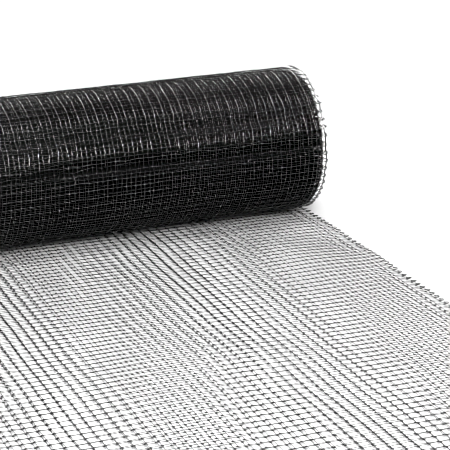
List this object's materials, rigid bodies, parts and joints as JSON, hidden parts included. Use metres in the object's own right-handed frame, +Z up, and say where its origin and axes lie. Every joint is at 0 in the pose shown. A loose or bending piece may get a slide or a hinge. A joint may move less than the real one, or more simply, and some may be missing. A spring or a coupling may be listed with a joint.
{
  "type": "mole netting",
  "caption": "Black square-mesh plastic mole netting, folded double along its length and wound into a roll, with its loose end lying flat in front of the roll.",
  "frame": {"origin": "on the floor under the middle of the whole part", "axes": "+X along the roll towards the fold of the net, +Y from the loose end towards the roll, +Z up"},
  "size_m": [1, 0.8542, 0.1946],
  "materials": {
    "net": "black extruded polypropylene with a faint sheen"
  },
  "bodies": {
    "root": {"roll": "net", "loose_end": "net"}
  },
  "joints": []
}
